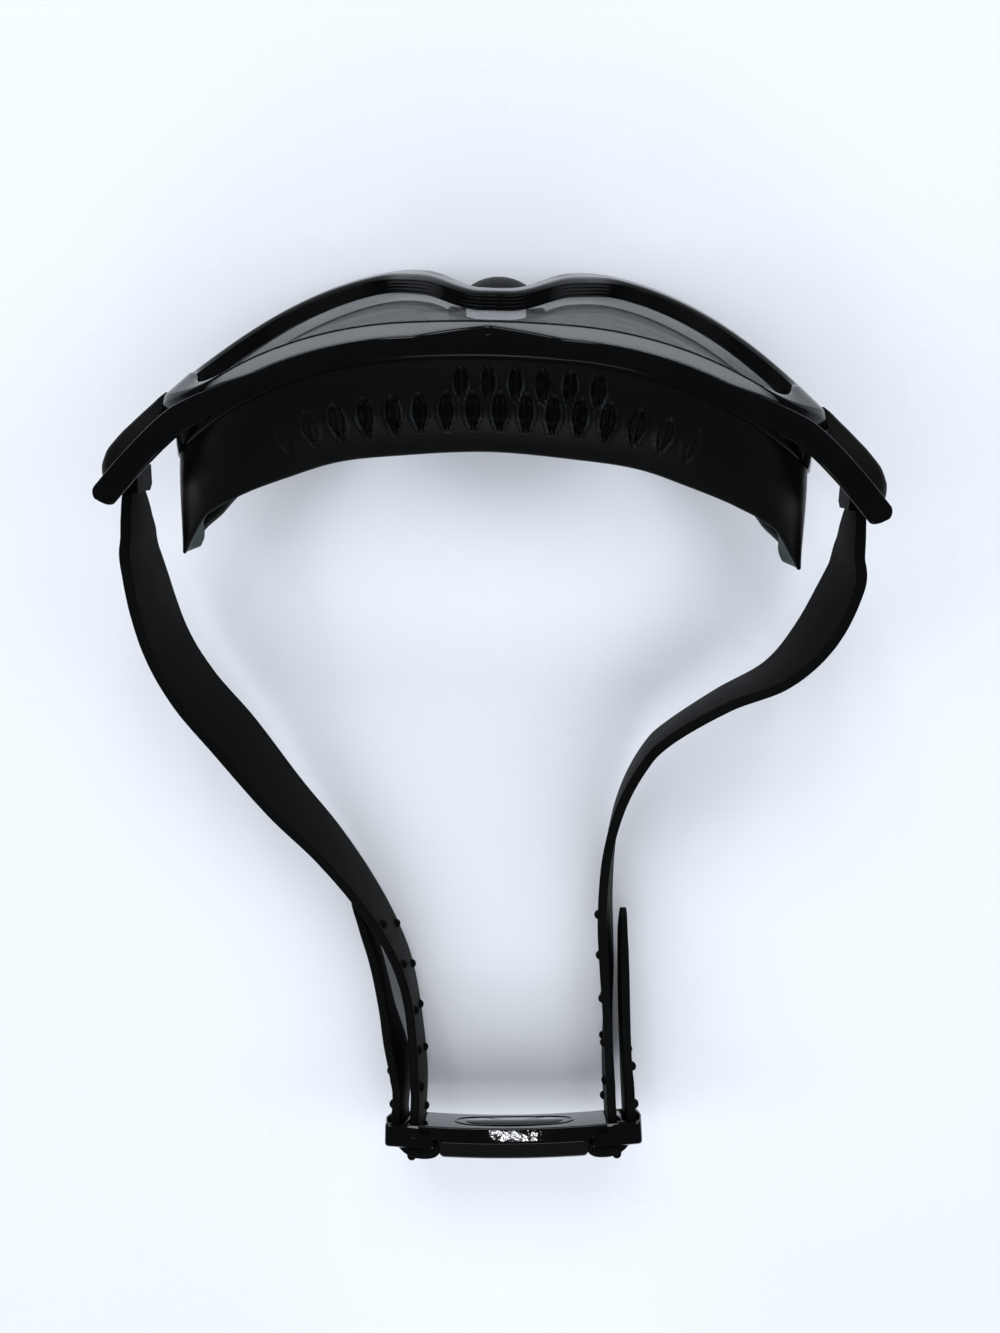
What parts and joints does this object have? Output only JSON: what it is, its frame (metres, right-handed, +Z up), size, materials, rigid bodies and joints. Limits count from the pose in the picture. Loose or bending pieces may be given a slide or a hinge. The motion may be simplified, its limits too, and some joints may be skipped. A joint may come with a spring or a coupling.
{
  "type": "swimming goggles",
  "caption": "Wide swim goggles with a curved one-piece lens, a soft face skirt, side wings with strap pivots, and a flat head strap adjusted at a rear clip.",
  "frame": {"origin": "middle of the bottom of the overall box, on the surface the goggles stand on", "axes": "+Y straight ahead from the wearer's face, +Z up, +X to the wearer's right"},
  "size_m": [0.1666, 0.2284, 0.0608],
  "materials": {
    "lens": "clear polished plastic",
    "seal": "thin clear-grey gasket",
    "frame_gloss": "black, glossy",
    "skirt_silicone": "black silicone, satin",
    "bridge_silicone": "black silicone, smooth",
    "cover_matte": "black, matte",
    "collar_matte": "black, satin",
    "pin_steel": "plain",
    "strap_silicone": "black silicone, satin",
    "clip_gloss": "black, high gloss",
    "inlay_gloss": "dark, polished"
  },
  "bodies": {
    "front": {"lens": "lens", "lens_seal": "seal", "frame": "frame_gloss", "lower_rim": "frame_gloss", "skirt": "skirt_silicone", "nose_bridge": "bridge_silicone", "collar_left": "collar_matte", "collar_right": "collar_matte", "pivot_pin_left": "pin_steel", "pivot_pin_right": "pin_steel", "pivot_cover_left": "cover_matte", "pivot_cover_right": "cover_matte"},
    "straps": {"strap_left": "strap_silicone", "strap_right": "strap_silicone"},
    "clip": {"clip_body": "clip_gloss", "clip_inlay": "inlay_gloss", "strap_turn_left": "strap_silicone", "strap_turn_right": "strap_silicone"},
    "tail_left": {"tail_left": "strap_silicone"},
    "tail_right": {"tail_right": "strap_silicone"}
  },
  "joints": [
    {"name": "strap_tilt", "type": "hinge", "parent": "front", "child": "straps", "pos_m": [0, 0.06653, 0.03], "axis": [1, 0, 0], "range_deg": [-15, 15]},
    {"name": "clip_slide", "type": "slide", "parent": "straps", "child": "clip", "axis": [0, 1, 0], "range_m": [-0.018, 0.02], "deforming": ["strap_left", "strap_right"]},
    {"name": "tail_slide_left", "type": "slide", "parent": "clip", "child": "tail_left", "axis": [-0.2425, 0.9701, 0], "range_m": [-0.018, 0.02], "deforming": ["tail_left"]},
    {"name": "tail_slide_right", "type": "slide", "parent": "clip", "child": "tail_right", "axis": [0, 1, 0], "range_m": [-0.018, 0.02], "deforming": ["tail_right"]}
  ],
  "couplings": [
    {"joint": "tail_slide_left", "follows": "clip_slide", "ratio": 1},
    {"joint": "tail_slide_right", "follows": "clip_slide", "ratio": 1}
  ]
}
